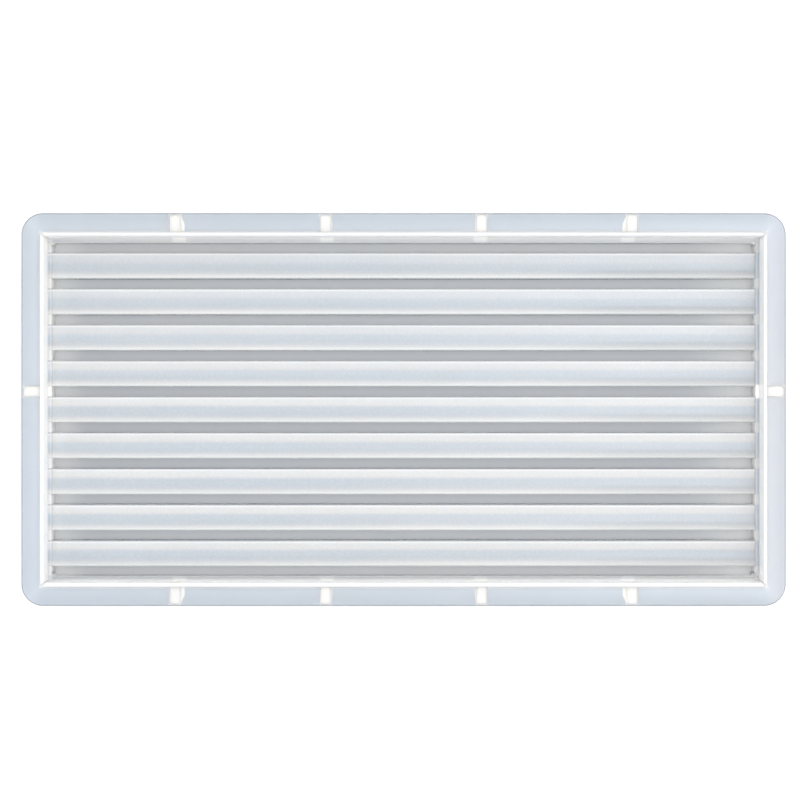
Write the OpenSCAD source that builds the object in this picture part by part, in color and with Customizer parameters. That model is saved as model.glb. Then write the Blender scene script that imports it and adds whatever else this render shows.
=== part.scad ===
// Framed queen excluder: a rectangular tray of thin moulded walls under a flat rim.
// Hollow slats cross it along its length and leave slots that a worker bee passes and a queen does not.
// A ledge level with the slats runs around the inside of the walls and closes the slots' ends.
// +X runs along the slats, +Y across them, +Z up. The origin is the centre of the footprint, at the feet.

/* [Slots and slats] */
// Clear width of every slot
slot_w = 4.3; // [4.1:0.05:4.4]
// Clear length of every slot
slot_l = 297.4; // [240:0.1:420]
// Number of slats
slat_count = 9; // [5:1:15]
// Width of one slat
slat_w = 10.9; // [9:0.1:14]
// Height of a slat from its feet to its two long edges
slat_h = 10; // [7:0.5:12]
// Thickness of the two upright webs of a slat
slat_web_t = 1.2; // [0.8:0.1:2]
// Thickness of the sheet that closes a slat, at its lowest point
slat_top_t = 1.1; // [0.8:0.1:2]
// Depth of the shallow dish between the two long edges of a slat
slat_dish = 0.35; // [0.1:0.05:0.6]
// Radius of the two long edges of a slat
slat_edge_r = 0.7; // [0.4:0.1:1]
// Radius of the two long corners inside a slat
slat_inner_r = 1; // [0.5:0.1:2]

/* [Walls] */
// Height of the walls from their feet to the lip
wall_h = 20; // [16:0.5:26]
// Thickness of the walls
wall_t = 1.7; // [1.4:0.1:2.4]
// Radius of the upright outer corners of the walls
wall_corner_r = 1.3; // [0.8:0.1:1.6]

/* [Ledges] */
// Width of the ledge along each long wall
ledge_w = 1.9; // [1:0.05:2.4]
// Width of the ledge along each end wall
end_ledge_w = 1.6; // [1:0.1:2.4]
// Radius of the ledges' upper edge
ledge_edge_r = 0.5; // [0.3:0.1:0.8]
// Radius of the rounded ends of the two outermost slots
slot_end_r = 1.6; // [1:0.1:4]

/* [Rim] */
// Width of the rim outside the walls
rim_w = 8.1; // [7:0.1:14]
// Thickness of the rim
rim_t = 1.6; // [1.2:0.1:2.4]
// Height of the walls' lip above the rim
lip_h = 2; // [1:0.5:4]
// Radius of the rim's corners
rim_corner_r = 9; // [6:0.5:10]

/* [Ribs] */
// Thickness of a rib
rib_t = 4.3; // [2.4:0.1:5]
// Radius of the two upright corners at a rib's tip
rib_tip_r = 1; // [0.4:0.1:1.2]
// Ribs on each long side
rib_count = 4; // [2:1:4]
// Spacing of the two ribs nearest the middle of a long side
rib_mid_gap = 65.4; // [40:0.1:68]
// Spacing of the other ribs on a long side
rib_pitch = 63; // [40:0.1:68]
// Distance from a rib's tip to the rim's edge
rib_inset = 0.8; // [0.3:0.1:1.5]
// Height of a rib's foot above the walls' feet
rib_foot_h = 0.6; // [0.4:0.1:3]
// Length of a rib's level foot, measured from the wall
rib_foot_l = 3.6; // [0.5:0.1:5]
// Depth of a rib at its tip, the rim's thickness included
rib_tip_h = 2.2; // [1.8:0.1:4]

/* [Hidden] */

milky = [0.93, 0.95, 0.98];      // thick sections, where the plastic looks white
frosted = [0.82, 0.86, 0.91];    // thin sheets, where it looks bluish

slat_pitch = slat_w + slot_w;
grid_w = slat_count * slat_w + (slat_count + 1) * slot_w;
inner_w = grid_w + 2 * ledge_w;
inner_l = slot_l + 2 * end_ledge_w;
outer_w = inner_w + 2 * wall_t;
outer_l = inner_l + 2 * wall_t;
overall_w = outer_w + 2 * rim_w;
overall_l = outer_l + 2 * rim_w;

rim_top = wall_h - lip_h;
rib_l = rim_w - rib_inset;
end_rib_y = slat_pitch / 2;      // the two end ribs stand opposite the slot beside the middle slat

cut = 1;                         // how far a cutting solid runs past what it cuts
fine = 96;                       // sides of a full circle

// A plate with rounded corners, centred on the origin, its lower face at height z.
module rounded_plate(l, w, h, r, z) {
    translate([0, 0, z]) {
        translate([-l / 2 + r, -w / 2, 0]) cube([l - 2 * r, w, h]);
        translate([-l / 2, -w / 2 + r, 0]) cube([l, w - 2 * r, h]);
        for (x = [-1, 1], y = [-1, 1])
            translate([x * (l / 2 - r), y * (w / 2 - r), 0]) cylinder(r = r, h = h, $fn = fine);
    }
}

// Plan of a rib with two rounded corners at its tip. It points along +X from the wall's face at x = 0.
module rib_plan() {
    translate([0, -rib_t / 2]) square([rib_l - rib_tip_r, rib_t]);
    translate([0, -rib_t / 2 + rib_tip_r]) square([rib_l, rib_t - 2 * rib_tip_r]);
    for (y = [-1, 1])
        translate([rib_l - rib_tip_r, y * (rib_t / 2 - rib_tip_r)]) circle(r = rib_tip_r, $fn = fine);
}

// Side view of a rib: level with the rim's top, with a level foot at the wall and a shallow tip.
module rib_side() {
    polygon([
        [0, rib_foot_h],
        [0, rim_top],
        [rib_l, rim_top],
        [rib_l, rim_top - rib_tip_h],
        [rib_foot_l, rib_foot_h]
    ]);
}

// A tapering rib with its root on the plane x = 0, pointing along +X.
module rib() {
    intersection() {
        linear_extrude(wall_h) rib_plan();
        translate([0, rib_t / 2, 0]) rotate([90, 0, 0]) linear_extrude(rib_t) rib_side();
    }
}

// Place of rib number i on a long side, counted from the left and measured from the middle.
function rib_x(i) =
    let (k = i - (rib_count + 1) / 2)
    sign(k) * (rib_mid_gap / 2 + (abs(k) - 0.5) * rib_pitch);

module place_side_rib(i, side) {
    translate([rib_x(i), side * outer_w / 2, 0]) rotate([0, 0, side * 90]) children();
}

module place_end_rib(side) {
    translate([side * outer_l / 2, end_rib_y, 0]) rotate([0, 0, side > 0 ? 0 : 180]) children();
}

module side_rib(i, side) {
    color(milky) place_side_rib(i, side) rib();
}

module end_rib(side) {
    color(milky) place_end_rib(side) rib();
}

// The slot that a rib fills in the rim, cut right through it.
module rib_notch() {
    translate([0, 0, -cut]) linear_extrude(wall_h + 2 * cut) rib_plan();
}

// Flat rim around the walls, below their lip, with a notch for every rib.
module rim() {
    color(frosted) difference() {
        rounded_plate(overall_l, overall_w, rim_t, rim_corner_r, rim_top - rim_t);
        rounded_plate(outer_l, outer_w, wall_h, wall_corner_r, 0);
        for (i = [1 : rib_count], side = [-1, 1]) place_side_rib(i, side) rib_notch();
        for (side = [-1, 1]) place_end_rib(side) rib_notch();
    }
}

// Cross-section of a ledge: x from the wall's face, y up, with a rounded upper edge.
module ledge_profile(w) {
    square([w, slat_h - ledge_edge_r]);
    square([w - ledge_edge_r, slat_h]);
    translate([w - ledge_edge_r, slat_h - ledge_edge_r]) circle(r = ledge_edge_r, $fn = fine);
}

// Solid corner with a hollow quarter round, which rounds the end of the outermost slot.
module slot_end() {
    difference() {
        cube([slot_end_r, slot_end_r, slat_h - ledge_edge_r]);
        translate([slot_end_r, slot_end_r, -cut])
            cylinder(r = slot_end_r, h = slat_h + 2 * cut, $fn = fine);
    }
}

// Ledge along the long wall on the -Y side, from end wall to end wall.
module long_ledge() {
    translate([-inner_l / 2, -inner_w / 2, 0])
        rotate([90, 0, 90]) linear_extrude(inner_l) ledge_profile(ledge_w);
    for (x = [0, 1])
        mirror([x, 0, 0]) translate([-slot_l / 2, -grid_w / 2, 0]) slot_end();
}

// Ledge along the end wall on the -X side, between the two long ledges.
module end_ledge() {
    translate([-inner_l / 2, grid_w / 2, 0])
        rotate([90, 0, 0]) linear_extrude(grid_w) ledge_profile(end_ledge_w);
}

module ledge_front() {
    color(milky) long_ledge();
}

module ledge_back() {
    color(milky) mirror([0, 1, 0]) long_ledge();
}

module ledge_left() {
    color(milky) end_ledge();
}

module ledge_right() {
    color(milky) mirror([1, 0, 0]) end_ledge();
}

// The four walls in one, open above and below.
module wall_ring() {
    difference() {
        rounded_plate(outer_l, outer_w, wall_h, wall_corner_r, 0);
        translate([-inner_l / 2, -inner_w / 2, -cut]) cube([inner_l, inner_w, wall_h + 2 * cut]);
    }
}

// Long wall on the -Y side (side -1) or the +Y side (side 1), mitred at its ends.
module long_wall(side) {
    color(milky) intersection() {
        wall_ring();
        linear_extrude(wall_h) polygon([
            [-outer_l / 2, side * outer_w / 2],
            [outer_l / 2, side * outer_w / 2],
            [inner_l / 2, side * inner_w / 2],
            [-inner_l / 2, side * inner_w / 2]
        ]);
    }
}

module wall_front() {
    long_wall(-1);
}

module wall_back() {
    long_wall(1);
}

// End wall on the -X side (side -1) or the +X side (side 1), mitred at its ends.
module end_wall(side) {
    color(milky) intersection() {
        wall_ring();
        linear_extrude(wall_h) polygon([
            [side * outer_l / 2, -outer_w / 2],
            [side * outer_l / 2, outer_w / 2],
            [side * inner_l / 2, inner_w / 2],
            [side * inner_l / 2, -inner_w / 2]
        ]);
    }
}

module wall_left() {
    end_wall(-1);
}

module wall_right() {
    end_wall(1);
}

// A rectangle on the X axis, centred on x = 0, with its two upper corners rounded.
module round_top(w, h, r) {
    translate([-w / 2, 0]) square([w, h - r]);
    translate([-w / 2 + r, 0]) square([w - 2 * r, h]);
    for (x = [-1, 1]) translate([x * (w / 2 - r), h - r]) circle(r = r, $fn = fine);
}

// Cross-section of a slat: x across it, y up. Two upright webs carry a sheet with a shallow dish.
module slat_profile() {
    dish_half = slat_w / 2 - slat_edge_r;
    dish_r = (pow(dish_half, 2) + pow(slat_dish, 2)) / (2 * slat_dish);
    hollow_h = slat_h - slat_dish - slat_top_t;
    difference() {
        round_top(slat_w, slat_h, slat_edge_r);
        translate([0, slat_h - slat_dish + dish_r]) circle(r = dish_r, $fn = 2 * fine);
        translate([0, -cut]) round_top(slat_w - 2 * slat_web_t, hollow_h + cut, slat_inner_r);
    }
}

// Slat number i, counted from the +Y side, between the end ledges.
module slat(i) {
    y = ((slat_count + 1) / 2 - i) * slat_pitch;
    color(frosted)
        translate([-slot_l / 2, y, 0])
            rotate([90, 0, 90]) linear_extrude(slot_l) slat_profile();
}

rim();
wall_front();
wall_back();
wall_left();
wall_right();
ledge_front();
ledge_back();
ledge_left();
ledge_right();
for (i = [1 : slat_count])
    slat(i);
for (i = [1 : rib_count]) {
    side_rib(i, -1);
    side_rib(i, 1);
}
end_rib(-1);  // rib_left
end_rib(1);  // rib_right
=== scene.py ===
"""Looks of the framed queen excluder: milky translucent plastic on a plain pale floor.

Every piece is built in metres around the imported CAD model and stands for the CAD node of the
same name. Places and sizes come from the nodes' boxes. The constants below are the small
measures that the boxes don't give.
"""
import math

import bmesh
import bpy
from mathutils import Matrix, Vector


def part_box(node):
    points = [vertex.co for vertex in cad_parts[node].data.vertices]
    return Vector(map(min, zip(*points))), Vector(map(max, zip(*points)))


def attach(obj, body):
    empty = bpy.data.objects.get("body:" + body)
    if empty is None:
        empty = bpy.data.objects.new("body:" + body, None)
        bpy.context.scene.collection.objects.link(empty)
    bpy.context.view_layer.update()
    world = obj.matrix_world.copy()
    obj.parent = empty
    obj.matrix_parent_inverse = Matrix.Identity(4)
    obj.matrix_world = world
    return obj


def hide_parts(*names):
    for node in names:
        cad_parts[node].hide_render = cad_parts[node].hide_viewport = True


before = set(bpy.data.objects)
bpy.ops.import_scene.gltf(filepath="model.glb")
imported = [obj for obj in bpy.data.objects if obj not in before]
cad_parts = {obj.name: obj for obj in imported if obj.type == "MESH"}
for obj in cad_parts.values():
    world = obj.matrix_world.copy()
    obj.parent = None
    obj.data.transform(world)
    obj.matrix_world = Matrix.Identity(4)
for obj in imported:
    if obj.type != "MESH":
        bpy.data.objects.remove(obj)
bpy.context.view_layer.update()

MM = 0.001

# ---------------------------------------------------------------- measures from the frame
rim_lo, rim_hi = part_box("rim")
front_lo, front_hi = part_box("wall_front")
right_lo, right_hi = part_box("wall_right")
long_ledge_lo, long_ledge_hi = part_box("ledge_front")
end_ledge_lo, end_ledge_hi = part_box("ledge_right")
slat_boxes = {n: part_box(n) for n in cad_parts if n.startswith("slat_")}
rib_boxes = {n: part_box(n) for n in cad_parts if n.startswith("rib_")}
slat_lo, slat_hi = slat_boxes["slat_1"]

WALL_T = right_hi.x - right_lo.x
OUTER_X = right_hi.x
OUTER_Y = -front_lo.y
INNER_X = OUTER_X - WALL_T
INNER_Y = OUTER_Y - WALL_T
WALL_TOP = front_hi.z
RIM_W = rim_hi.x - OUTER_X
RIM_TOP = rim_hi.z
RIM_UNDER = rim_lo.z
SLAT_W = slat_hi.y - slat_lo.y
SLAT_H = slat_hi.z - slat_lo.z
PITCH = (slat_lo - slat_boxes["slat_2"][0]).y

# ---------------------------------------------------------------- small measures
RIM_CORNER_R = 9 * MM
WALL_CORNER_R = 1.3 * MM
INNER_CORNER_R = 0.25 * MM
LIP_R = 0.55 * MM            # rounding of the walls' upper edges
RIM_EDGE_R = 0.7 * MM        # rounding of the rim's outer edge
FOOT_BEVEL = 0.25 * MM       # bevel of the lower edges of walls, ledges and slats
SLAT_WEB_T = 1.2 * MM
SLAT_TOP_T = 1.1 * MM
SLAT_DISH = 0.35 * MM
SLAT_EDGE_R = 0.7 * MM
SLAT_INNER_R = 1.0 * MM
SLOT_END_R = 1.6 * MM
LEDGE_EDGE_R = 0.5 * MM
RIB_TIP_H = 2.2 * MM
RIB_TIP_R = 1.0 * MM
RIB_FOOT_L = 3.6 * MM
RIB_EDGE_R = 0.5 * MM
RIB_GAP = 0.02 * MM          # room around a rib in its notch
NOTCH_OVERCUT = 1 * MM       # how far a notch's cutter goes past the rim

LEDGE_W = long_ledge_hi.y - long_ledge_lo.y - SLOT_END_R
END_LEDGE_W = end_ledge_hi.x - end_ledge_lo.x
SLOT_X = INNER_X - END_LEDGE_W
GRID_Y = INNER_Y - LEDGE_W

# ---------------------------------------------------------------- fineness of the meshes
SLAT_STEPS = 60
WALL_STEPS = 40
RIM_STEPS = 30
LEDGE_STEPS = 40
WALL_CORNER_STEPS = 8
RIM_CORNER_STEPS = 16
EDGE_STEPS = 5
SMOOTH_BELOW = 32            # degrees between two faces that look like one curved face

# ---------------------------------------------------------------- floor, light and camera
FLOOR_HALF = 6
FLOOR_DROP = 0.2 * MM
FLOOR_COLOUR = (0.93, 0.935, 0.94, 1)
SKY_STRENGTH = 1.35
KEY_SIZE = (0.4, 0.4)
KEY_PLACE = (0.27, 0.05, 1.1)
KEY_POWER = 1.6
CAMERA_PLACE = (-0.0015, 0.0040, 0.929)
CAMERA_LENS = 97.9
CAMERA_SENSOR = 36


# ---------------------------------------------------------------- mesh tools
def arc(cx, cy, r, start, end, steps):
    """Points on an arc from angle start to angle end, in degrees, both ends included."""
    return [
        (cx + r * math.cos(math.radians(a)), cy + r * math.sin(math.radians(a)))
        for a in (start + (end - start) * i / steps for i in range(steps + 1))
    ]


def smooth_by_angle(mesh):
    """Smooth faces, with sharp edges where two faces meet at more than the angle."""
    limit = math.radians(SMOOTH_BELOW)
    bm = bmesh.new()
    bm.from_mesh(mesh)
    for f in bm.faces:
        f.smooth = True
    for e in bm.edges:
        e.smooth = len(e.link_faces) == 2 and e.calc_face_angle(0.0) < limit
    bm.to_mesh(mesh)
    bm.free()


def make_piece(name, bm, material):
    """Turns a bmesh into a piece that rides on the root and stands for the CAD node of its name."""
    bmesh.ops.recalc_face_normals(bm, faces=bm.faces)
    mesh = bpy.data.meshes.new(name)
    bm.to_mesh(mesh)
    bm.free()
    smooth_by_angle(mesh)
    piece = bpy.data.objects.new(name + "_moulded", mesh)
    bpy.context.scene.collection.objects.link(piece)
    mesh.materials.append(material)
    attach(piece, "root")
    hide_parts(name)
    return piece


def skin(bm, lower, upper):
    """Side faces between two rings of the same number of vertices."""
    count = len(lower)
    for i in range(count):
        j = (i + 1) % count
        bm.faces.new((lower[i], lower[j], upper[j], upper[i]))


def stack(bm, rows):
    """A closed solid over rows of vertices: side faces, and a flat cap at each end."""
    for lower, upper in zip(rows, rows[1:]):
        skin(bm, lower, upper)
    bm.faces.new(reversed(rows[0]))
    bm.faces.new(rows[-1])


def sweep(rings, closed):
    """A skin over rings of points. An open sweep gets a flat cap at each end."""
    bm = bmesh.new()
    rows = [[bm.verts.new(p) for p in ring] for ring in rings]
    if closed:
        for a, b in zip(rows, rows[1:] + rows[:1]):
            skin(bm, a, b)
    else:
        stack(bm, rows)
    return bm


def between(a, b, steps):
    """Points that divide the line from a to b into equal steps, without its ends."""
    start = Vector(a)
    end = Vector(b)
    return [tuple(start.lerp(end, k / steps)) for k in range(1, steps)]


# ---------------------------------------------------------------- nodes
class Nodes:
    """Short calls for the nodes of one material. Every call but feed returns an output socket
    or, for add, a node."""

    def __init__(self, name):
        self.material = bpy.data.materials.new(name)
        self.material.use_nodes = True
        self.tree = self.material.node_tree
        self.shader = self.tree.nodes["Principled BSDF"]
        self.place = self.add("ShaderNodeTexCoord").outputs["Object"]
        split = self.add("ShaderNodeSeparateXYZ", {"Vector": self.place})
        self.x, self.y, self.z = split.outputs

    def add(self, kind, inputs=(), **settings):
        node = self.tree.nodes.new(kind)
        for key, value in settings.items():
            setattr(node, key, value)
        for key, value in dict(inputs).items():
            self.feed(node.inputs[key], value)
        return node

    def feed(self, socket, value):
        """Links a socket, or sets an input's value."""
        if isinstance(value, bpy.types.NodeSocket):
            self.tree.links.new(value, socket)
        elif isinstance(value, tuple) and len(value) == 3 and socket.type == "RGBA":
            socket.default_value = (*value, 1)
        else:
            socket.default_value = value

    def math(self, operation, a, b=0.0, c=0.0):
        return self.add("ShaderNodeMath", {0: a, 1: b, 2: c}, operation=operation).outputs[0]

    def span(self, value, low, high, out_low=0.0, out_high=1.0):
        """Smooth step of value from low to high, as out_low to out_high."""
        inputs = {
            "Value": value,
            "From Min": low,
            "From Max": high,
            "To Min": out_low,
            "To Max": out_high,
        }
        node = self.add("ShaderNodeMapRange", inputs, interpolation_type="SMOOTHSTEP")
        return node.outputs["Result"]

    def near(self, value, middle, inner, outer, out_low=1.0, out_high=0.0):
        """Smooth step of value's distance from middle: out_low to inner, out_high past outer."""
        off = self.math("ABSOLUTE", self.math("SUBTRACT", value, middle))
        return self.span(off, inner, outer, out_low, out_high)

    def ramp(self, value, stops):
        """Colours by position: stops are (position, colour)."""
        node = self.add("ShaderNodeValToRGB", {"Fac": value})
        elements = node.color_ramp.elements
        while len(elements) < len(stops):
            elements.new(0.5)
        for element, (position, colour) in zip(elements, stops):
            element.position = position
            element.color = (*colour, 1)
        return node.outputs["Color"]

    def mix(self, factor, a, b, blend="MIX"):
        node = self.add("ShaderNodeMix", data_type="RGBA", blend_type=blend)
        self.feed(node.inputs[0], factor)
        self.feed(node.inputs[6], a)
        self.feed(node.inputs[7], b)
        return node.outputs[2]

    def multiply(self, colour, by):
        return self.mix(1.0, colour, by, "MULTIPLY")

    def noise(self, scale, stretch=(1, 1, 1), detail=2.0):
        """Noise from 0 to 1, in features per metre, stretched along an axis by less than 1."""
        mapped = self.add("ShaderNodeMapping", {"Vector": self.place, "Scale": stretch})
        node = self.add("ShaderNodeTexNoise", {"Scale": scale, "Detail": detail})
        self.tree.links.new(mapped.outputs["Vector"], node.inputs["Vector"])
        return node.outputs["Fac"]


# ---------------------------------------------------------------- plastic
def scaled(colour, k):
    return tuple(min(1.0, c * k) for c in colour)


def grey(level):
    return (level, level, level)


# One tint of plastic, seen as a thin sheet or through its full depth. Its tones are painted
# light and shade: the bluish grey stands for shade seen through a thin sheet, the whites for
# light seen through the full depth.
BLUE_GREY = (0.53, 0.575, 0.635)
PALE = (0.745, 0.755, 0.78)
WHITE = (0.95, 0.955, 0.95)
BRIGHT = (0.99, 0.995, 0.99)

CLOUD_SCALE = 16             # features of each noise per metre
TINT_SCALE = 9
GRAIN_SCALE = 1400
SWELL_SCALE = 120
COOL_TO_WARM = [(0.3, (0.985, 0.995, 1.0)), (0.7, (1.0, 0.995, 0.985))]
PLASTIC_IOR = 1.43
INNER_LIGHT = 0.85           # share of the light that travels inside the plastic
INNER_LIGHT_REACH = (0.9, 1.0, 1.15)
SHEET_GLOW = 3 * MM          # how far it travels in most pieces, and in the thin ledges
LEDGE_GLOW = 0.6 * MM
SHEET_ALPHA = 0.8
SLAT_ALPHA = 0.82


def clouded(n, colour):
    """The colour, lighter, darker, warmer and cooler from place to place."""
    cloud = n.noise(CLOUD_SCALE, detail=3.0)
    tint = n.ramp(n.noise(TINT_SCALE, detail=1.0), COOL_TO_WARM)
    colour = n.multiply(colour, n.mix(cloud, grey(0.965), grey(1.03)))
    return n.mix(0.8, colour, tint, "MULTIPLY")


def uneven_skin(n, grain):
    """Normal of a finely frosted, slightly wavy skin."""
    frost = {"Height": grain, "Strength": 0.012, "Distance": 0.05 * MM}
    frosted = n.add("ShaderNodeBump", frost).outputs["Normal"]
    swell = n.noise(SWELL_SCALE, stretch=(0.35, 1, 1), detail=2.0)
    waves = {"Height": swell, "Strength": 0.25, "Distance": 0.2 * MM, "Normal": frosted}
    return n.add("ShaderNodeBump", waves).outputs["Normal"]


def finish_plastic(n, colour, alpha=1.0, roughness=0.3, glow=SHEET_GLOW):
    """What every plastic piece shares: clouding, an uneven skin, inner light, see-through."""
    grain = n.noise(GRAIN_SCALE, detail=2.0)
    inputs = n.shader.inputs
    n.feed(inputs["Base Color"], clouded(n, colour))
    n.feed(inputs["Roughness"], n.span(grain, 0.25, 0.75, roughness - 0.03, roughness + 0.04))
    n.feed(inputs["Normal"], uneven_skin(n, grain))
    n.feed(inputs["Alpha"], alpha)
    inputs["IOR"].default_value = PLASTIC_IOR
    inputs["Subsurface Weight"].default_value = INNER_LIGHT
    inputs["Subsurface Radius"].default_value = INNER_LIGHT_REACH
    inputs["Subsurface Scale"].default_value = glow
    return n.material


# ---------------------------------------------------------------- look of the slats
# In the looks below, a pair of numbers is a zone: where a change starts and where it is complete.
# Across a slat it is in shares of the slat's width.
WAVE_SCALE = 14              # features per metre of the bands' waviness, and its size
WAVE = 0.06
WAVE_STARTS = (0.05, 0.2)
STREAK_STRETCH = (4, 420, 40)
# Zones across a slat of the pale painted highlight on its +Y side.
PALE_HIGHLIGHT_STARTS = (0.08, 0.16)
PALE_HIGHLIGHT_ENDS = (0.42, 0.32)
FRONT_SIDE = (0.62, 0.74)
FRONT_WEB = (0.3, 0.7)
BACK_SLATS = (0.0, slat_hi.y)
# Zone in X over which painted shade darkens the slats' -Y sides.
FRONT_SIDES_SHADED = (50 * MM, 110 * MM)
# Painted light at the slats' -X ends and painted shade at their +X ends:
SLAT_LEFT_END = (-SLOT_X + 9 * MM, -SLOT_X)
SLAT_LEFT_TIP = (-SLOT_X + 1.6 * MM, -SLOT_X + 0.2 * MM)
SLAT_RIGHT_END = (SLOT_X - 30 * MM, SLOT_X)
SLAT_TOP = (SLAT_H - 1.2 * MM, SLAT_H - 0.6 * MM)
# Zones of the painted light and shade on the slots' sides:
WEB_RISE = (SLAT_H - 6 * MM, SLAT_H - 1 * MM)
WEB_LEFT_END = (-SLOT_X + 14 * MM, -SLOT_X + 3 * MM)
WEB_RIGHT_END = (SLOT_X - 32 * MM, SLOT_X - 3 * MM)
WEB_TIPS = (SLOT_X - 8 * MM, SLOT_X - 2 * MM)
MIDDLE_SLAT = (-1 * MM, 1 * MM)
OUTER_SLATS = (10 * MM, 50 * MM)
OUTERMOST_WEBS = (GRID_Y - 5 * MM, GRID_Y - 4 * MM)
# Painted light and shade across a slat: white highlights along both edges, a pale highlight on the
# +Y side, bluish shade between.
SLAT_LIGHT_AND_SHADE = [
    (0.0, scaled(PALE, 0.58)),
    (0.025, scaled(PALE, 0.66)),
    (0.06, scaled(PALE, 1.11)),
    (0.11, PALE),
    (0.19, scaled(PALE, 0.95)),
    (0.30, scaled(PALE, 0.96)),
    (0.43, scaled(BLUE_GREY, 1.06)),
    (0.66, BLUE_GREY),
    (0.78, (0.58, 0.60, 0.63)),
    (0.92, (0.735, 0.745, 0.75)),
    (1.0, (0.66, 0.67, 0.68)),
]
# Painted light and shade of the slots' sides: light above, dark shade below, lighter where they
# face the middle slat, darkest in the outermost slots, light at the slots' ends.
WEB_UPPER_LIT = (0.66, 0.69, 0.73)
WEB_LOWER = (0.26, 0.33, 0.42)
WEB_LOWER_INWARD = (0.48, 0.53, 0.58)
WEB_LOWER_OUTERMOST = (0.10, 0.13, 0.17)
WEB_END_LIT = (0.90, 0.92, 0.94)
WEB_TIP = (0.98, 0.99, 0.99)


def slat_share(n):
    """Place across a slat: 0 at its +Y edge, 1 at its -Y edge, more than 1 over the slot beyond."""
    steps = n.math("DIVIDE", n.math("SUBTRACT", slat_hi.y + 0.02 * MM, n.y), PITCH)
    return n.math("MULTIPLY", n.math("FRACT", steps), PITCH / SLAT_W)


def slat_light_and_shade(n):
    """Painted light and shade across a slat's top: white highlights along its two long edges, a
    pale painted highlight on the +Y side, bluish painted shade between. The pale highlight is
    dimmer on the slats of the +Y side, and painted shade darkens each slat's -Y side towards +X."""
    wave = n.noise(WAVE_SCALE, stretch=(1, 0.2, 0.2))
    wave = n.math("MULTIPLY_ADD", wave, WAVE, -WAVE / 2)
    share = slat_share(n)
    across = n.math("MULTIPLY_ADD", wave, n.span(share, *WAVE_STARTS), share)
    # Painted highlight: the pale band on the +Y side of each slat, dimmer on the +Y slats.
    pale_highlight = n.math("MULTIPLY", n.span(across, *PALE_HIGHLIGHT_STARTS), n.span(across, *PALE_HIGHLIGHT_ENDS))
    dimmer_highlight = n.math("MULTIPLY", pale_highlight, n.span(n.y, *BACK_SLATS, 0.0, 0.6))
    colour = n.mix(dimmer_highlight, n.ramp(across, SLAT_LIGHT_AND_SHADE), scaled(BLUE_GREY, 1.1))
    # Painted shade: the -Y side of each slat darker towards +X.
    front_side = n.span(across, *FRONT_SIDE, 0.0, 0.14)
    front_shade = n.math("MULTIPLY", n.span(n.x, *FRONT_SIDES_SHADED), front_side)
    colour = n.mix(front_shade, colour, grey(0.0))
    streak = n.noise(1.0, stretch=STREAK_STRETCH, detail=1.0)
    return n.multiply(colour, n.mix(streak, grey(0.95), grey(1.05)))


def facing_inwards(n, abs_y):
    """More than 0 on the webs that face the middle slat, and 1 on the outer slats' ones."""
    back_slat = n.span(n.y, *MIDDLE_SLAT)
    front_web = n.span(slat_share(n), *FRONT_WEB)
    outward = n.math("ABSOLUTE", n.math("SUBTRACT", front_web, back_slat))
    inward = n.math("SUBTRACT", 1.0, outward)
    return n.math("MULTIPLY", inward, n.span(abs_y, *OUTER_SLATS))


def web_light_and_shade(n):
    """Painted light and shade on the slots' sides: pale near the slats' tops, dark painted shade
    below, painted light towards the ends.
    """
    abs_y = n.math("ABSOLUTE", n.y)
    # Painted shade low on the webs: lighter where they face the middle slat, darkest in the
    # outermost slots.
    low = n.mix(facing_inwards(n, abs_y), WEB_LOWER, WEB_LOWER_INWARD)
    low = n.mix(n.span(abs_y, *OUTERMOST_WEBS), low, WEB_LOWER_OUTERMOST)
    # Painted light on the upper webs.
    colour = n.mix(n.span(n.z, *WEB_RISE), low, WEB_UPPER_LIT)
    # Painted light towards the slots' ends, whitest at their tips.
    end = n.math("MAXIMUM", n.span(n.x, *WEB_LEFT_END), n.span(n.x, *WEB_RIGHT_END))
    colour = n.mix(end, colour, WEB_END_LIT)
    tip = n.span(n.math("ABSOLUTE", n.x), *WEB_TIPS)
    return n.mix(tip, colour, WEB_TIP)


def slat_material():
    """Thin sheet, with painted light at its -X end and painted shade at its +X end, and bluish
    webs under it painted with light and shade.
    """
    n = Nodes("frosted_slat")
    # Painted light at the slat's -X end, strongest at its tip.
    left_end_light = n.mix(n.span(n.x, *SLAT_LEFT_TIP), grey(1.10), grey(1.24))
    colour = slat_light_and_shade(n)
    colour = n.mix(n.span(n.x, *SLAT_LEFT_END), colour, n.multiply(colour, left_end_light))
    # Painted shade at the slat's +X end.
    colour = n.mix(n.span(n.x, *SLAT_RIGHT_END), colour, n.multiply(colour, grey(0.94)))
    # The webs under the top get the painted light and shade of the slots' sides.
    colour = n.mix(n.span(n.z, *SLAT_TOP), web_light_and_shade(n), colour)
    return finish_plastic(n, colour, SLAT_ALPHA, roughness=0.26)


# ---------------------------------------------------------------- light of the ribs, painted
STRIP_SPREAD = 0.019         # width of the white strip beside a rib, as a share of the rib's X
STRIP_STARTS = (-0.2 * MM, 0.0)
STRIP_ENDS = (0.3 * MM, -0.2 * MM)
STRIP_ROOT = (-0.1 * MM, 0.0)
PATCH_LEAN = 0.99            # X of a rib's bright patch on the wall, as a share of the rib's X
PATCH = (2.0 * MM, 3.6 * MM)
PATCH_FADE = 1 * MM


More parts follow.
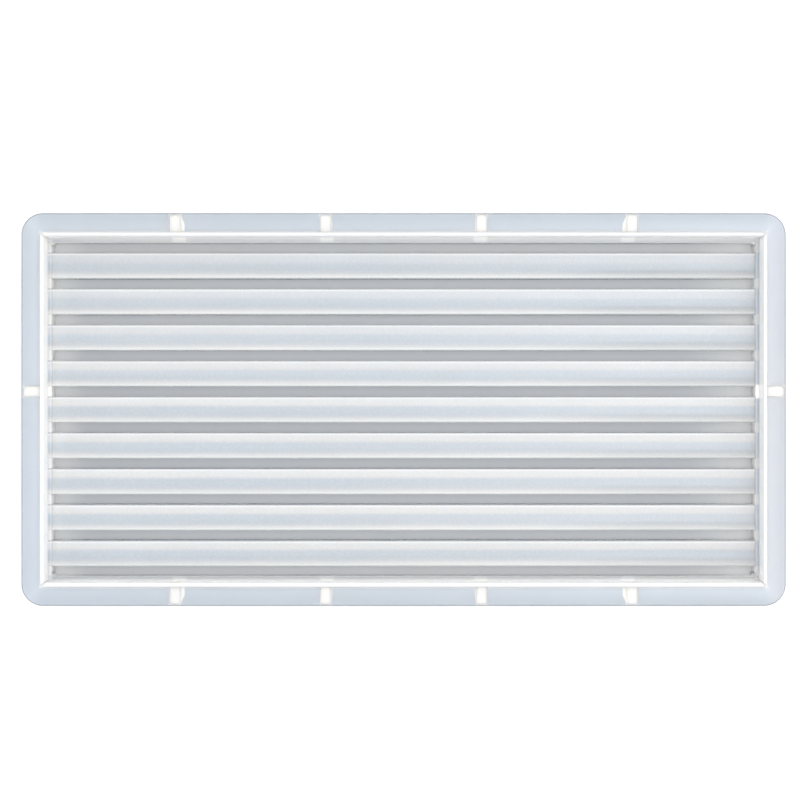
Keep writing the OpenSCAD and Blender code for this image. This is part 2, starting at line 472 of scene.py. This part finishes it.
def rib_glow(n, abs_x, out_y):
    """Painted white glow of the long sides' ribs in the rim: a strip beside each, as wide as its
    foot is deep."""
    glow = 0.0
    for name in ("rib_back_3", "rib_back_4"):
        lo, hi = rib_boxes[name]
        beside = n.math("SUBTRACT", lo.x, abs_x)
        length = hi.y - lo.y
        depth = n.math("DIVIDE", n.math("SUBTRACT", length, out_y), length - RIB_FOOT_L)
        reach = n.math("MULTIPLY", n.math("MINIMUM", depth, 1.0), STRIP_SPREAD * lo.x)
        strip = n.span(n.math("SUBTRACT", beside, reach), *STRIP_ENDS)
        strip = n.math("MULTIPLY", strip, n.span(beside, *STRIP_STARTS))
        glow = n.math("MAXIMUM", strip, glow)
    return n.math("MULTIPLY", glow, n.span(out_y, *STRIP_ROOT))


def beside_ribs(n, abs_x):
    """Distance beyond the side faces of the nearest rib, less than 0 inside it."""
    nearest = 1.0
    for name in ("rib_back_3", "rib_back_4", "rib_right"):
        lo, hi = rib_boxes[name]
        low, high, along = (lo.y, hi.y, n.y) if name == "rib_right" else (lo.x, hi.x, abs_x)
        off = n.math("ABSOLUTE", n.math("SUBTRACT", along, (low + high) / 2))
        nearest = n.math("MINIMUM", nearest, n.math("SUBTRACT", off, (high - low) / 2))
    return nearest


def painted_rib_light(n):
    """Painted light, 0 to 1, that the ribs lend to the walls and ledges in front of them."""
    rib_light = 0.0
    for name, (lo, hi) in rib_boxes.items():
        middle = (lo + hi) / 2
        if name in ("rib_left", "rib_right"):
            near = n.near(n.y, middle.y, *PATCH)
            outward = n.math("MULTIPLY", n.x, math.copysign(1, middle.x))
            edge = SLOT_X
        else:
            near = n.near(n.x, PATCH_LEAN * middle.x, *PATCH)
            outward = n.math("MULTIPLY", n.y, math.copysign(1, middle.y))
            edge = GRID_Y
        patch = n.math("MULTIPLY", near, n.span(outward, edge - PATCH_FADE, edge))
        rib_light = n.math("MAXIMUM", rib_light, patch)
    return rib_light


# ---------------------------------------------------------------- look of the rim
RIM_SHEET = (0.485, 0.518, 0.555)
# Painted light on the rim's +X end:
RIM_SHEET_RIGHT_LIT = (0.54, 0.555, 0.59)
# Painted glow at the ribs, and beyond them:
GLOW_AT_RIB = (0.98, 0.98, 0.97)
GLOW_BEYOND = (0.84, 0.84, 0.82)
# Zones of the rim's painted light at its ends, by the walls and beside the ribs, and of its glow:
RIM_LEFT_END = (-OUTER_X + 1 * MM, -OUTER_X - 3 * MM)
RIM_RIGHT_END = (OUTER_X - 1 * MM, OUTER_X + 3 * MM)
RIGHT_HALF = (0.0, OUTER_X)
BY_RIGHT_WALL = (3.0 * MM, 0.5 * MM)
AWAY_FROM_WALLS = (0.5 * MM, 7.5 * MM)
OFF_THE_WALLS = (0.0, 1.2 * MM)
OFF_THE_RIBS = (0.05 * MM, 0.7 * MM)
GLOW_FADES = (0.1 * MM, 0.6 * MM)
# Where the painted shade of the rim's rounded outer edge lies:
LEANS = (0.995, 0.85)        # of the upright part of a face's normal
FACES_OUT = (0.05, 0.25)


def rim_sheet(n, out_x, out):
    """Bluish sheet, with painted light at both ends and towards the walls."""
    # Painted light at both ends, most at +X.
    colour = n.mix(n.span(n.x, *RIM_LEFT_END, 0.0, 0.7), RIM_SHEET, scaled(RIM_SHEET, 1.08))
    colour = n.mix(n.span(n.x, *RIM_RIGHT_END, 0.0, 0.9), colour, RIM_SHEET_RIGHT_LIT)
    # Painted light towards the walls, most beside the +X wall.
    right_wall_light = n.mix(n.span(out_x, *BY_RIGHT_WALL), grey(1.12), grey(1.21))
    near = n.mix(n.span(n.x, *RIGHT_HALF), grey(1.12), right_wall_light)
    near = n.mix(n.span(out, *AWAY_FROM_WALLS), near, grey(0.985))
    colour = n.multiply(colour, near)
    # Painted light right by the walls.
    return n.mix(n.span(out, *OFF_THE_WALLS, 0.9, 0.0), colour, scaled(PALE, 1.07))


def rounded_edge_shade(n):
    """1 where the face leans as the rim's rounded outer edge does: where its painted shade goes."""
    normal = n.add("ShaderNodeNewGeometry").outputs["Normal"]
    up = n.math("ABSOLUTE", n.add("ShaderNodeSeparateXYZ", {"Vector": normal}).outputs["Z"])
    return n.math("MULTIPLY", n.span(up, *LEANS), n.span(up, *FACES_OUT))


def rim_material():
    """Thin sheet, with painted light and glow beside the ribs and painted shade along its rounded
    outer edge.
    """
    n = Nodes("frosted_rim")
    abs_x = n.math("ABSOLUTE", n.x)
    out_x = n.math("SUBTRACT", abs_x, OUTER_X)
    out_y = n.math("SUBTRACT", n.math("ABSOLUTE", n.y), OUTER_Y)
    colour = rim_sheet(n, out_x, n.math("MAXIMUM", out_x, out_y))
    beside = beside_ribs(n, abs_x)
    # Painted light: a pale halo beside the ribs.
    colour = n.mix(n.span(beside, *OFF_THE_RIBS, 0.85, 0.0), colour, PALE)
    # Painted glow beside the ribs, fading away from them.
    glow_colour = n.mix(n.span(beside, *GLOW_FADES), GLOW_AT_RIB, GLOW_BEYOND)
    colour = n.mix(rib_glow(n, abs_x, out_y), colour, glow_colour)
    # Painted shade along the rim's rounded outer edge.
    edge = n.math("MULTIPLY", rounded_edge_shade(n), 0.95)
    colour = n.mix(edge, colour, scaled(BLUE_GREY, 0.3))
    return finish_plastic(n, colour, SHEET_ALPHA, roughness=0.38)


# ---------------------------------------------------------------- look of the walls
# Painted highlight along the crown of each lip, palest in its middle; the -X lip and the inner side
# of the -Y lip are painted lighter.
LIP_HIGHLIGHT_BANDS = [
    (0.0, (0.56, 0.565, 0.57)),
    (0.2, (0.61, 0.615, 0.62)),
    (0.45, (0.70, 0.70, 0.70)),
    (0.65, (0.68, 0.68, 0.68)),
    (0.85, (0.60, 0.605, 0.61)),
    (1.0, (0.53, 0.535, 0.545)),
]
LIP_LEFT_LIT = (0.69, 0.69, 0.69)
LIP_FRONT_INSIDE_LIT = (0.70, 0.70, 0.70)
LIP_RISE = (WALL_TOP - 1.4 * MM, WALL_TOP - 0.5 * MM)
LIP_INNER_EDGE = (0.55, 0.25)   # in shares of the wall's thickness
# Zones of the painted light on the walls' inner faces:
THROUGH_WALL = (0.35, 0.65)
FACE_FADE = 2 * MM           # a wall's painted white light starts so far before its inner face
FACE_MARGIN = 0.2 * MM       # and is complete so far before it
CORNER_REACH = 6 * MM


def beyond(n, value, inner):
    """1 where value has reached a wall's inner face."""
    side = math.copysign(1, inner)
    return n.span(value, inner - FACE_FADE * side, inner - FACE_MARGIN * side)


def wall_inside_light(n, left, front):
    """Inner faces: painted light at a level of its own for each wall, whitest in the corners and
    at the ribs.
    """
    # Painted light at a different level on each wall's inner face.
    back_or_right = n.math("MAXIMUM", beyond(n, n.x, INNER_X), beyond(n, n.y, INNER_Y))
    inside = n.mix(back_or_right, WHITE, scaled(WHITE, 0.83))
    inside = n.mix(front, inside, BRIGHT)
    inside = n.mix(left, inside, scaled(WHITE, 0.89))
    # Painted light in the inner corners, and where a rib stands behind.
    near_x = n.span(n.math("ABSOLUTE", n.x), SLOT_X - CORNER_REACH, SLOT_X)
    near_y = n.span(n.math("ABSOLUTE", n.y), GRID_Y - CORNER_REACH, GRID_Y)
    corner = n.math("MULTIPLY", near_x, near_y)
    return n.mix(n.math("MAXIMUM", corner, painted_rib_light(n)), inside, WHITE)


def wall_lip(n, depth, left, front):
    """The lip's crown, with a painted highlight palest in its middle."""
    # Painted highlight across the crown, evenly light on the -X lip.
    lip = n.mix(left, n.ramp(depth, LIP_HIGHLIGHT_BANDS), LIP_LEFT_LIT)
    # Painted light on the inner side of the -Y lip.
    inner_edge = n.span(depth, *LIP_INNER_EDGE)
    return n.mix(n.math("MULTIPLY", front, inner_edge), lip, LIP_FRONT_INSIDE_LIT)


def wall_material():
    """Painted light: white along the crown of the lip and inside, brightest where a rib stands
    behind the wall.
    """
    n = Nodes("milky_wall")
    deep_x = n.math("SUBTRACT", n.math("ABSOLUTE", n.x), INNER_X)
    deep_y = n.math("SUBTRACT", n.math("ABSOLUTE", n.y), INNER_Y)
    depth = n.math("DIVIDE", n.math("MAXIMUM", deep_x, deep_y), WALL_T)
    left = beyond(n, n.x, -INNER_X)
    front = beyond(n, n.y, -INNER_Y)
    # The inner face carries the painted light; the outer face stays pale.
    body = n.mix(n.span(depth, *THROUGH_WALL), wall_inside_light(n, left, front), PALE)
    lip = wall_lip(n, depth, left, front)
    return finish_plastic(n, n.mix(n.span(n.z, *LIP_RISE), body, lip))


# ---------------------------------------------------------------- look of the ledges
# Painted light and shade across a long ledge: whitest beside the wall, darker towards the slot, a
# little lighter at its rounded edge.
LEDGE_LIGHT_AND_SHADE = [
    (0.0, (0.68, 0.685, 0.695)),
    (0.3, (0.63, 0.635, 0.65)),
    (0.55, (0.58, 0.585, 0.60)),
    (0.75, (0.47, 0.475, 0.49)),
    (1.0, (0.60, 0.61, 0.62)),
]
# Painted light on a ledge where a rib stands behind it:
LEDGE_RIB_LIGHT = (1.17, 1.17, 1.15)
# Painted light and shade on the ledges' faces in the slots: shade below, light above, whitest at
# the slots' ends.
LEDGE_SIDE_SHADE = (0.58, 0.60, 0.63)
LEDGE_SIDE_LIT = (0.95, 0.96, 0.98)
LEDGE_SIDE_END_LIT = (0.99, 0.99, 0.99)
# Lines along the end ledges: at -X a thin line spared by the painted light, at +X a darker line of
# painted shade.
LEFT_JOINT = 0.9 * MM        # distances from the end walls of the lines along the end ledges
RIGHT_JOINT = 0.6 * MM
LEFT_LINE = (0.2 * MM, 0.8 * MM)
RIGHT_LINE = (0.1 * MM, 0.5 * MM)
LEDGE_INNER_EDGE = (END_LEDGE_W - 0.5 * MM, END_LEDGE_W)
LEDGE_STEEP = (0.0, 0.6)     # in shares of the ledge's width
FRONT_HALF = (0.0, -1 * MM)
LEFT_LEDGE = (-SLOT_X + 1 * MM, -SLOT_X - 0.3 * MM)
RIGHT_LEDGE = (SLOT_X - 0.5 * MM, SLOT_X)
LEDGE_CORNER = (GRID_Y - 0.3 * MM, GRID_Y + 0.3 * MM)
OVER_SLAT = (1.02, 0.98)
WITHIN_SLATS = (slat_hi.y + 1 * MM, slat_hi.y)
SIDE_FACE = (SLAT_H - 0.2 * MM, SLAT_H - 0.5 * MM)
SIDE_RISE = (2 * MM, 5 * MM)
SIDE_ENDS = (SLOT_X - 16 * MM, SLOT_X - 3 * MM)


def ledge_top(n, away_x, rib_light):
    """Painted light and shade: whitest beside the walls and darker towards the slots. The -Y ledge
    has more contrast.
    """
    away_y = n.math("SUBTRACT", INNER_Y, n.math("ABSOLUTE", n.y))
    near = n.math("DIVIDE", n.math("MINIMUM", away_x, away_y), LEDGE_W)
    colour = n.ramp(near, LEDGE_LIGHT_AND_SHADE)
    # Stronger painted light and shade on the -Y ledge.
    steep = n.mix(n.span(near, *LEDGE_STEEP), grey(1.10), grey(0.86))
    colour = n.mix(n.span(n.y, *FRONT_HALF), colour, n.multiply(colour, steep))
    # Painted light where a rib stands behind.
    return n.mix(rib_light, colour, n.multiply(colour, LEDGE_RIB_LIGHT))


def left_ledge(n, away_x, rib_light, in_slat, abs_y):
    """The -X ledge: each slat's painted light and shade goes on over it, lifted by painted light
    but for a thin line, and painted white light between.
    """
    # Painted light over the slat's look, but for a thin line, and more at the ledge's inner edge.
    painted_end_light = n.near(away_x, LEFT_JOINT, *LEFT_LINE, 1.0, 1.14)
    inner = n.span(away_x, *LEDGE_INNER_EDGE, 0.0, 0.25)
    slat = n.multiply(slat_light_and_shade(n), n.math("ADD", painted_end_light, inner))
    # Painted white light between the slats, whiter where a rib stands behind.
    slot = n.mix(rib_light, scaled(WHITE, 0.77), scaled(WHITE, 0.9))
    look = n.mix(in_slat, slot, n.multiply(slat, grey(0.90)))
    return n.mix(n.span(abs_y, *LEDGE_CORNER), look, scaled(PALE, 0.94))


def right_ledge(n, away_x, rib_light, in_slat):
    """The +X ledge: painted grey shade with a darker painted line at the end of each slat, and
    pale between.
    """
    # Painted shade: a darker line at the end of each slat.
    line = n.near(away_x, RIGHT_JOINT, *RIGHT_LINE, 0.5, 0.0)
    slat_end_shade = n.mix(line, BLUE_GREY, scaled(BLUE_GREY, 0.62))
    # Painted grey shade in line with the slats, pale between, white where a rib stands behind.
    return n.mix(rib_light, n.mix(in_slat, scaled(PALE, 0.80), slat_end_shade), WHITE)


def ledge_side(n):
    """Faces of the ledges in the slots: painted shade below, painted light above, and whitest
    painted light at the slots' ends.
    """
    end = n.span(n.math("ABSOLUTE", n.x), *SIDE_ENDS)
    side = n.mix(n.span(n.z, *SIDE_RISE), LEDGE_SIDE_SHADE, LEDGE_SIDE_LIT)
    return n.mix(end, side, LEDGE_SIDE_END_LIT)


def ledge_material():
    """Painted light and shade: whitest beside the walls. The end ledges are painted like the slats
    in line with each of them, their painted light and shade included.
    """
    n = Nodes("milky_ledge")
    abs_y = n.math("ABSOLUTE", n.y)
    away_x = n.math("SUBTRACT", INNER_X, n.math("ABSOLUTE", n.x))
    rib_light = painted_rib_light(n)
    over_slat = n.span(slat_share(n), *OVER_SLAT)
    in_slat = n.math("MULTIPLY", over_slat, n.span(abs_y, *WITHIN_SLATS))
    left = left_ledge(n, away_x, rib_light, in_slat, abs_y)
    right = right_ledge(n, away_x, rib_light, in_slat)
    colour = n.mix(n.span(n.x, *LEFT_LEDGE), ledge_top(n, away_x, rib_light), left)
    colour = n.mix(n.span(n.x, *RIGHT_LEDGE), colour, right)
    # The faces in the slots get their painted light and shade.
    colour = n.mix(n.span(n.z, *SIDE_FACE), colour, ledge_side(n))
    return finish_plastic(n, colour, glow=LEDGE_GLOW)


# ---------------------------------------------------------------- look of the ribs
# Zone of the painted light along a rib's sides:
RIB_SIDES = (-0.6 * MM, -0.1 * MM)


def rib_material():
    """White, a little darker on top, where only its edges stay white with painted light."""
    n = Nodes("milky_rib")
    colour = n.mix(n.span(n.z, RIM_UNDER, RIM_TOP), WHITE, scaled(WHITE, 0.77))
    side = beside_ribs(n, n.math("ABSOLUTE", n.x))
    # Painted light along the rib's sides.
    colour = n.mix(n.span(side, *RIB_SIDES), colour, WHITE)
    return finish_plastic(n, colour, roughness=0.34)


SLAT_LOOK = slat_material()
RIM_LOOK = rim_material()
WALL_LOOK = wall_material()
LEDGE_LOOK = ledge_material()
RIB_LOOK = rib_material()


# ---------------------------------------------------------------- slats
def slat_profile():
    """Cross-section (y, z) of a slat: webs, rounded edges, a dished sheet, an arched hollow."""
    half = SLAT_W / 2
    dish_half = half - SLAT_EDGE_R
    dish_r = (dish_half ** 2 + SLAT_DISH ** 2) / (2 * SLAT_DISH)
    dish_z = SLAT_H - SLAT_DISH + dish_r
    dish_a = math.degrees(math.asin(dish_half / dish_r))
    edge_z = SLAT_H - SLAT_EDGE_R
    inner = half - SLAT_WEB_T
    arch_y = inner - SLAT_INNER_R
    arch_z = SLAT_H - SLAT_DISH - SLAT_TOP_T - SLAT_INNER_R
    foot = FOOT_BEVEL
    p = [(-half, foot), (-half, SLAT_H * 0.5)]
    p += arc(-dish_half, edge_z, SLAT_EDGE_R, 180, 90, 6)
    p += arc(0, dish_z, dish_r, 270 - dish_a, 270 + dish_a, 16)[1:-1]
    p += arc(dish_half, edge_z, SLAT_EDGE_R, 90, 0, 6)
    p += [(half, SLAT_H * 0.5), (half, foot), (half - foot, 0), (inner + foot, 0), (inner, foot)]
    p += arc(arch_y, arch_z, SLAT_INNER_R, 0, 90, EDGE_STEPS)
    p += arc(-arch_y, arch_z, SLAT_INNER_R, 90, 180, EDGE_STEPS)
    p += [(-inner, foot), (-inner - foot, 0), (-half + foot, 0)]
    return p


def build_slat(name):
    lo, hi = slat_boxes[name]
    y_mid = (lo.y + hi.y) / 2
    profile = slat_profile()
    rings = []
    for k in range(SLAT_STEPS + 1):
        x = lo.x + (hi.x - lo.x) * k / SLAT_STEPS
        rings.append([Vector((x, y_mid + y, z)) for y, z in profile])
    make_piece(name, sweep(rings, False), SLAT_LOOK)


# ---------------------------------------------------------------- walls and rim
def corner_path(half_x, half_y, r, steps):
    """Quarter arcs at the four corners, anticlockwise from the +X -Y corner, a list for each."""
    corners = []
    for sx, sy, start in ((1, -1, -90), (1, 1, 0), (-1, 1, 90), (-1, -1, 180)):
        corners.append(arc(sx * (half_x - r), sy * (half_y - r), r, start, start + 90, steps))
    return corners


def rings_of(columns):
    """Turns columns, each a path (x, y) at its own z, into the rings of a sweep."""
    paths = [[Vector((x, y, z)) for x, y in path] for path, z in columns]
    return [list(ring) for ring in zip(*paths)]


def wall_profile():
    """Cross-section (offset outwards from the inner face, z) of a wall."""
    foot = FOOT_BEVEL
    p = [(0, foot), (0, WALL_TOP * 0.5)]
    p += arc(LIP_R, WALL_TOP - LIP_R, LIP_R, 180, 90, EDGE_STEPS)
    p += arc(WALL_T - LIP_R, WALL_TOP - LIP_R, LIP_R, 90, 0, EDGE_STEPS)
    p += [(WALL_T, WALL_TOP * 0.5), (WALL_T, foot), (WALL_T - foot, 0), (foot, 0)]
    return p


def build_wall(name, side):
    """side 0 is +X, 1 is +Y, 2 is -X, 3 is -Y. The ends are mitred through the corners."""
    half = WALL_CORNER_STEPS // 2
    columns = []
    for offset, z in wall_profile():
        r = INNER_CORNER_R + (WALL_CORNER_R - INNER_CORNER_R) * offset / WALL_T
        corners = corner_path(INNER_X + offset, INNER_Y + offset, r, WALL_CORNER_STEPS)
        start = corners[side][half:]
        end = corners[(side + 1) % 4][: half + 1]
        columns.append((start + between(start[-1], end[0], WALL_STEPS) + end, z))
    make_piece(name, sweep(rings_of(columns), False), WALL_LOOK)


def rim_profile():
    """Cross-section (offset outwards from the walls, z) of the rim."""
    r = RIM_EDGE_R
    p = [(0, RIM_UNDER), (0, RIM_TOP)]
    p += [(RIM_W * k / 6, RIM_TOP) for k in range(1, 5)]
    p += arc(RIM_W - r, RIM_TOP - r, r, 90, 0, EDGE_STEPS)
    p += arc(RIM_W - r, RIM_UNDER + r, r, 0, -90, EDGE_STEPS)
    p += [(RIM_W * k / 6, RIM_UNDER) for k in range(4, 0, -1)]
    return p


def rim_path(offset):
    """The way around the rim at an offset outwards from the walls."""
    r = WALL_CORNER_R + (RIM_CORNER_R - WALL_CORNER_R) * offset / RIM_W
    corners = corner_path(OUTER_X + offset, OUTER_Y + offset, r, RIM_CORNER_STEPS)
    path = []
    for corner, following in zip(corners, corners[1:] + corners[:1]):
        path += corner
        path += between(corner[-1], following[0], RIM_STEPS)
    return path


def build_rim():
    """A flat ring around the walls, with a notch for each rib."""
    rings = rings_of([(rim_path(offset), z) for offset, z in rim_profile()])
    cutters = bmesh.new()
    for box in rib_boxes.values():
        plan = rib_plan(box, 0.0, NOTCH_OVERCUT)
        heights = (RIM_UNDER - NOTCH_OVERCUT, RIM_TOP + NOTCH_OVERCUT)
        stack(cutters, [[cutters.verts.new((p.x, p.y, z)) for p in plan] for z in heights])
    piece = make_piece("rim", sweep(rings, True), RIM_LOOK)
    cut_out(piece, cutters)


def cut_out(piece, cutters):
    """Cuts the solids in a bmesh out of a piece, exactly."""
    bmesh.ops.recalc_face_normals(cutters, faces=cutters.faces)
    mesh = bpy.data.meshes.new("cutters")
    cutters.to_mesh(mesh)
    cutters.free()
    tool = bpy.data.objects.new("cutters", mesh)
    bpy.context.scene.collection.objects.link(tool)
    cut = piece.modifiers.new("notches", "BOOLEAN")
    cut.operation = "DIFFERENCE"
    cut.solver = "EXACT"
    cut.object = tool
    graph = bpy.context.evaluated_depsgraph_get()
    done = bpy.data.meshes.new_from_object(piece.evaluated_get(graph))
    piece.modifiers.clear()
    piece.data = done
    bpy.data.objects.remove(tool)
    smooth_by_angle(done)


# ---------------------------------------------------------------- ribs and ledges
def rib_frame(box):
    """Root point on the wall's outer face, and the directions out of the wall and along it."""
    lo, hi = box
    middle = (lo + hi) / 2
    if abs(middle.x) > OUTER_X:
        side = math.copysign(1, middle.x)
        return Vector((side * OUTER_X, middle.y, 0)), Vector((side, 0, 0)), Vector((0, side, 0))
    side = math.copysign(1, middle.y)
    return Vector((middle.x, side * OUTER_Y, 0)), Vector((0, side, 0)), Vector((-side, 0, 0))


def rib_plan(box, inset, overlap):
    """Outline of a rib from above: a strip out of the wall, its tip's corners rounded."""
    root, out, along = rib_frame(box)
    size = box[1] - box[0]
    tip = max(size.x, size.y) - RIB_TIP_R
    half = min(size.x, size.y) / 2 - inset
    r = RIB_TIP_R - inset
    outline = [(-overlap, half), (-overlap, -half), (RIB_FOOT_L, -half)]
    outline += arc(tip, r - half, r, -90, 0, 8)
    outline += arc(tip, half - r, r, 0, 90, 8)
    outline += [(RIB_FOOT_L, half)]
    return [root + out * u + along * v for u, v in outline]


def rib_underside(box, p):
    """Height of a rib's lower face at a point: level at the wall, then a slope up to the tip."""
    root, out, _ = rib_frame(box)
    size = box[1] - box[0]
    length = max(size.x, size.y)
    reach = ((p - root).dot(out) - RIB_FOOT_L) / (length - RIB_FOOT_L)
    foot = box[0].z
    return foot + (RIM_TOP - RIB_TIP_H - foot) * min(1.0, max(0.0, reach))


def build_rib(name):
    """A rib with rounded lower edges and its top in the rim's notch."""
    box = rib_boxes[name]
    bm = bmesh.new()
    layers = []
    for inset, lift in ((RIB_EDGE_R, 0.0), (RIB_EDGE_R * 0.3, RIB_EDGE_R * 0.3), (0.0, RIB_EDGE_R)):
        plan = rib_plan(box, inset + RIB_GAP, 0.0)
        layers.append([bm.verts.new((p.x, p.y, rib_underside(box, p) + lift)) for p in plan])
    layers.append([bm.verts.new((p.x, p.y, RIM_TOP)) for p in rib_plan(box, RIB_GAP, 0.0)])
    stack(bm, layers)
    make_piece(name, bm, RIB_LOOK)


def ledge_profile(width):
    """Cross-section (distance from the wall, z) of a ledge with a rounded upper edge."""
    r = LEDGE_EDGE_R
    p = [(0, 0), (0, SLAT_H)]
    p += arc(width - r, SLAT_H - r, r, 90, 0, EDGE_STEPS)
    p += [(width, FOOT_BEVEL), (width - FOOT_BEVEL, 0)]
    return p


def slot_end_reach(steps=12):
    """(distance from the slot's end, extra width of the ledge) around a slot's rounded corner."""
    angles = [math.radians(90 * i / steps) for i in range(steps + 1)]
    return [(SLOT_END_R * (1 - math.cos(a)), SLOT_END_R * (1 - math.sin(a))) for a in angles]


def build_long_ledge(name, side):
    """Ledge along a long wall. It widens at both ends to round the outermost slot's corners."""
    straight = SLOT_X - SLOT_END_R
    half = [(-INNER_X, 0.0), (-SLOT_X - 0.01 * MM, 0.0)]
    half += [(-SLOT_X + u, reach) for u, reach in slot_end_reach()]
    stations = half + [(straight * (2 * k / LEDGE_STEPS - 1), 0.0) for k in range(1, LEDGE_STEPS)]
    stations += [(-x, reach) for x, reach in reversed(half)]
    rings = []
    for x, reach in stations:
        profile = ledge_profile(LEDGE_W + reach)
        rings.append([Vector((x, side * (INNER_Y - d), z)) for d, z in profile])
    make_piece(name, sweep(rings, False), LEDGE_LOOK)


def build_end_ledge(name, side):
    """Ledge along an end wall, between the two long ledges. The slats and slots end at it."""
    profile = ledge_profile(END_LEDGE_W)
    rings = []
    for k in range(LEDGE_STEPS + 1):
        y = GRID_Y * (2 * k / LEDGE_STEPS - 1)
        rings.append([Vector((side * (INNER_X - d), y, z)) for d, z in profile])
    make_piece(name, sweep(rings, False), LEDGE_LOOK)


# ---------------------------------------------------------------- camera, floor and light
def floor_material():
    material = bpy.data.materials.new("floor_paper")
    material.use_nodes = True
    inputs = material.node_tree.nodes["Principled BSDF"].inputs
    inputs["Base Color"].default_value = FLOOR_COLOUR
    inputs["Roughness"].default_value = 0.9
    inputs["Specular IOR Level"].default_value = 0.0
    return material


def stage_floor():
    bm = bmesh.new()
    bmesh.ops.create_grid(bm, x_segments=1, y_segments=1, size=FLOOR_HALF)
    mesh = bpy.data.meshes.new("floor")
    bm.to_mesh(mesh)
    bm.free()
    floor = bpy.data.objects.new("floor", mesh)
    floor.location.z = -FLOOR_DROP
    bpy.context.scene.collection.objects.link(floor)
    mesh.materials.append(floor_material())


def key_light():
    """A soft rectangle of light above the +X side, turned towards the origin."""
    light = bpy.data.lights.new("key", "AREA")
    light.shape = "RECTANGLE"
    light.size, light.size_y = KEY_SIZE
    light.energy = KEY_POWER
    lamp = bpy.data.objects.new("key", light)
    lamp.location = KEY_PLACE
    lamp.rotation_euler = (-Vector(KEY_PLACE)).to_track_quat("-Z", "Y").to_euler()
    bpy.context.scene.collection.objects.link(lamp)


def studio():
    """Even white light from all around, and the key light."""
    world = bpy.data.worlds.new("studio")
    world.use_nodes = True
    sky = world.node_tree.nodes["Background"].inputs
    sky["Color"].default_value = (1, 1, 1, 1)
    sky["Strength"].default_value = SKY_STRENGTH
    bpy.context.scene.world = world
    key_light()
    bpy.context.scene.view_settings.view_transform = "Standard"


def camera():
    """Looks straight down with +Y up in the picture, a hair off the middle."""
    cam = bpy.data.cameras.new("camera")
    cam.sensor_width = CAMERA_SENSOR
    cam.lens = CAMERA_LENS
    obj = bpy.data.objects.new("camera", cam)
    obj.location = CAMERA_PLACE
    bpy.context.scene.collection.objects.link(obj)
    bpy.context.scene.camera = obj


for slat in slat_boxes:
    build_slat(slat)
for side, wall in enumerate(("wall_right", "wall_back", "wall_left", "wall_front")):
    build_wall(wall, side)
build_rim()
for rib in rib_boxes:
    build_rib(rib)
build_long_ledge("ledge_back", 1)
build_long_ledge("ledge_front", -1)
build_end_ledge("ledge_right", 1)
build_end_ledge("ledge_left", -1)
stage_floor()
studio()
camera()
